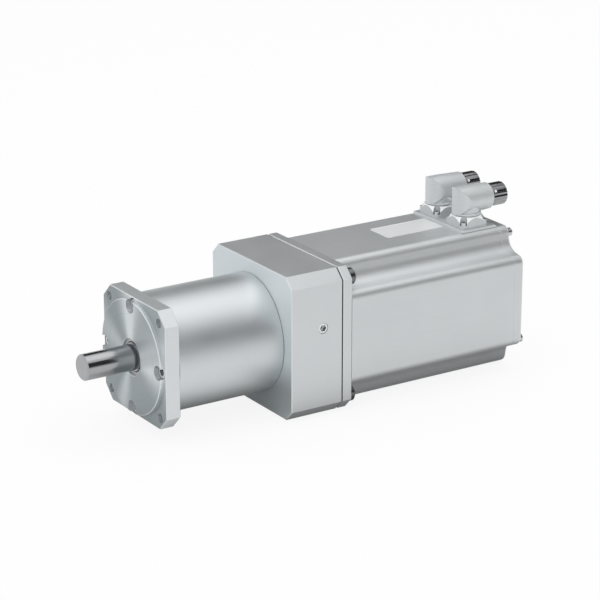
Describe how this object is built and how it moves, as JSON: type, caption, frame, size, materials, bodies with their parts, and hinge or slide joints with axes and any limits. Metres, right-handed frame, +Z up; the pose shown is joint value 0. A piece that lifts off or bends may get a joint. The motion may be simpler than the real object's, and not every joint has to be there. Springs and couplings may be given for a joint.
{
  "type": "planetary gearmotor",
  "caption": "Servo motor with angled swivel connectors, square adapter and coaxial planetary gear unit driving a plain output shaft through a bolted square flange.",
  "frame": {"origin": "centre of the output flange's mating face, on the output shaft's axis", "axes": "+X out of the output shaft, +Z up through the connectors, +Y towards the access plug's side"},
  "size_m": [0.457, 0.141, 0.1822],
  "materials": {
    "turned_aluminium": "satin",
    "turned_steel": "satin",
    "satin_aluminium": "satin",
    "ground_steel": "polished",
    "gear_steel": "satin",
    "bearing_steel": "polished",
    "black_steel": "satin",
    "zinc_plated_steel": "satin",
    "seal_rubber": "matte",
    "coated_aluminium": "satin",
    "laminations": "satin",
    "copper": "gloss",
    "magnet": "satin",
    "connector_metal": "satin",
    "nickel": "polished",
    "insulator": "matte",
    "contact_brass": "polished"
  },
  "bodies": {
    "housing": {"output_flange": "turned_aluminium", "flange_screws": "zinc_plated_steel", "shaft_seal": "seal_rubber", "output_bearing_outer_rings": "bearing_steel", "outer_bearing_spacer": "gear_steel", "bearing_circlip": "gear_steel", "ring_gear_housing": "turned_steel", "housing_gasket": "seal_rubber", "input_bearing_outer_ring": "bearing_steel", "adapter_housing": "satin_aluminium", "adapter_screws": "black_steel", "access_plug": "zinc_plated_steel", "motor_flange": "satin_aluminium", "motor_flange_screws": "zinc_plated_steel", "end_shield_screws": "black_steel", "motor_shaft_seal": "seal_rubber", "motor_bearing_outer_rings": "bearing_steel", "motor_housing": "coated_aluminium", "stator_core": "laminations", "stator_windings": "copper", "rear_bearing_shield": "turned_aluminium", "preload_washer": "gear_steel", "resolver_stator": "laminations", "rear_cover": "coated_aluminium", "rear_cover_screws": "zinc_plated_steel", "connector_plate": "coated_aluminium", "connector_bases": "connector_metal", "connector_base_screws": "zinc_plated_steel"},
    "rotor": {"sun_shaft": "gear_steel", "clamp_ring": "gear_steel", "clamp_screw": "black_steel", "input_bearing_inner_ring": "bearing_steel", "motor_shaft": "ground_steel", "rotor_core": "laminations", "rotor_magnets": "magnet", "motor_bearing_inner_rings": "bearing_steel", "resolver_rotor": "laminations"},
    "output": {"output_shaft": "ground_steel", "output_bearing_inner_rings": "bearing_steel", "inner_bearing_spacer": "gear_steel", "planet_pins": "gear_steel", "planet_washers": "gear_steel"},
    "planet_1": {"planet_gear_1": "gear_steel"},
    "needles_1": {"planet_needles_1": "bearing_steel"},
    "planet_2": {"planet_gear_2": "gear_steel"},
    "needles_2": {"planet_needles_2": "bearing_steel"},
    "planet_3": {"planet_gear_3": "gear_steel"},
    "needles_3": {"planet_needles_3": "bearing_steel"},
    "output_rollers": {"output_bearing_rollers": "bearing_steel"},
    "input_rollers": {"input_bearing_rollers": "bearing_steel"},
    "motor_rollers": {"motor_bearing_rollers": "bearing_steel"},
    "connector_1": {"connector_body_1": "connector_metal", "connector_insert_1": "insulator", "connector_contacts_1": "contact_brass"},
    "connector_ring_1": {"connector_ring_1": "nickel"},
    "connector_2": {"connector_body_2": "connector_metal", "connector_insert_2": "insulator", "connector_contacts_2": "contact_brass"},
    "connector_ring_2": {"connector_ring_2": "nickel"}
  },
  "joints": [
    {"name": "rotor_spin", "type": "hinge", "parent": "housing", "child": "rotor", "pos_m": [-0.24, 0, 0], "axis": [1, 0, 0], "continuous": true},
    {"name": "output_spin", "type": "hinge", "parent": "housing", "child": "output", "pos_m": [0, 0, 0], "axis": [1, 0, 0], "continuous": true},
    {"name": "planet_1_spin", "type": "hinge", "parent": "output", "child": "planet_1", "pos_m": [-0.0808, 0, 0.027], "axis": [1, 0, 0], "continuous": true},
    {"name": "needles_1_spin", "type": "hinge", "parent": "output", "child": "needles_1", "pos_m": [-0.0808, 0, 0.027], "axis": [1, 0, 0], "continuous": true},
    {"name": "planet_2_spin", "type": "hinge", "parent": "output", "child": "planet_2", "pos_m": [-0.0808, -0.02338, -0.0135], "axis": [1, 0, 0], "continuous": true},
    {"name": "needles_2_spin", "type": "hinge", "parent": "output", "child": "needles_2", "pos_m": [-0.0808, -0.02338, -0.0135], "axis": [1, 0, 0], "continuous": true},
    {"name": "planet_3_spin", "type": "hinge", "parent": "output", "child": "planet_3", "pos_m": [-0.0808, 0.02338, -0.0135], "axis": [1, 0, 0], "continuous": true},
    {"name": "needles_3_spin", "type": "hinge", "parent": "output", "child": "needles_3", "pos_m": [-0.0808, 0.02338, -0.0135], "axis": [1, 0, 0], "continuous": true},
    {"name": "output_rollers_spin", "type": "hinge", "parent": "housing", "child": "output_rollers", "pos_m": [-0.03, 0, 0], "axis": [1, 0, 0], "continuous": true},
    {"name": "input_rollers_spin", "type": "hinge", "parent": "housing", "child": "input_rollers", "pos_m": [-0.137, 0, 0], "axis": [1, 0, 0], "continuous": true},
    {"name": "motor_rollers_spin", "type": "hinge", "parent": "housing", "child": "motor_rollers", "pos_m": [-0.27, 0, 0], "axis": [1, 0, 0], "continuous": true},
    {"name": "connector_1_swivel", "type": "hinge", "parent": "housing", "child": "connector_1", "pos_m": [-0.3604, -0.0221, 0.0835], "axis": [0, 0, 1], "range_deg": [-10, 190]},
    {"name": "connector_1_ring_spin", "type": "hinge", "parent": "connector_1", "child": "connector_ring_1", "pos_m": [-0.3962, -0.0221, 0.0977], "axis": [1, 0, 0], "continuous": true},
    {"name": "connector_2_swivel", "type": "hinge", "parent": "housing", "child": "connector_2", "pos_m": [-0.3604, 0.0221, 0.0835], "axis": [0, 0, 1], "range_deg": [-190, 10]},
    {"name": "connector_2_ring_spin", "type": "hinge", "parent": "connector_2", "child": "connector_ring_2", "pos_m": [-0.3962, 0.0221, 0.0977], "axis": [1, 0, 0], "continuous": true}
  ],
  "couplings": [
    {"joint": "output_spin", "follows": "rotor_spin", "ratio": 0.25},
    {"joint": "planet_1_spin", "follows": "rotor_spin", "ratio": -0.75},
    {"joint": "needles_1_spin", "follows": "rotor_spin", "ratio": -0.46088},
    {"joint": "planet_2_spin", "follows": "rotor_spin", "ratio": -0.75},
    {"joint": "needles_2_spin", "follows": "rotor_spin", "ratio": -0.46088},
    {"joint": "planet_3_spin", "follows": "rotor_spin", "ratio": -0.75},
    {"joint": "needles_3_spin", "follows": "rotor_spin", "ratio": -0.46088},
    {"joint": "output_rollers_spin", "follows": "rotor_spin", "ratio": 0.1076},
    {"joint": "input_rollers_spin", "follows": "rotor_spin", "ratio": 0.43518},
    {"joint": "motor_rollers_spin", "follows": "rotor_spin", "ratio": 0.41304}
  ]
}
